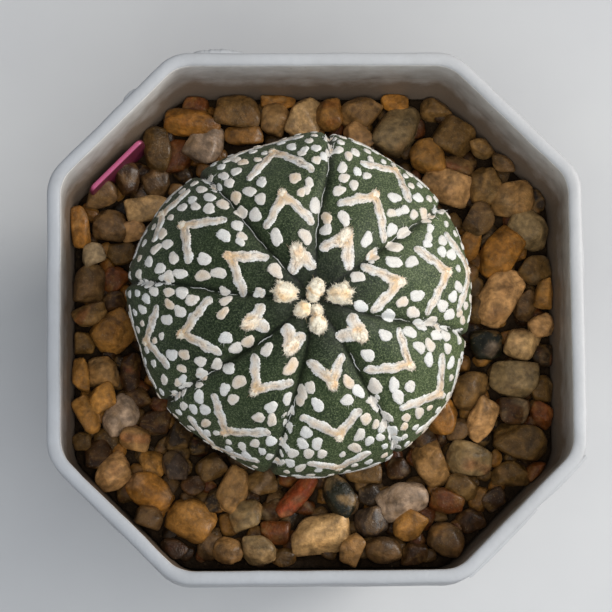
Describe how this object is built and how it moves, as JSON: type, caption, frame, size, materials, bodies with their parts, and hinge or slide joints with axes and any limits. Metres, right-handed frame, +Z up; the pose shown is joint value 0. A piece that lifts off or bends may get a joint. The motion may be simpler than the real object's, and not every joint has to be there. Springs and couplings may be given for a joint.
{
  "type": "potted star cactus",
  "caption": "Low ribbed star cactus flecked with white felt, in an octagonal plastic nursery pot with a gravel top dressing and a slim plant label.",
  "frame": {"origin": "centre of the pot's underside, on the surface that it stands on", "axes": "+Z up; the pot's four long sides face +X, -X, +Y and -Y"},
  "size_m": [0.088, 0.088, 0.0986],
  "materials": {
    "pot": "semi-matt off-white moulded polypropylene",
    "soil": "matt crumbly dark brown potting mix",
    "gravel": "smooth, slightly damp river gravel in tan, ochre, brown and grey",
    "cactus": "dull dark green skin with white woolly flecks",
    "crown_wool": "cream plant wool",
    "label": "semi-gloss pink plastic"
  },
  "bodies": {
    "root": {"pot": "pot", "soil": "soil", "gravel": "gravel", "cactus": "cactus", "crown_wool": "crown_wool", "label": "label"}
  },
  "joints": []
}
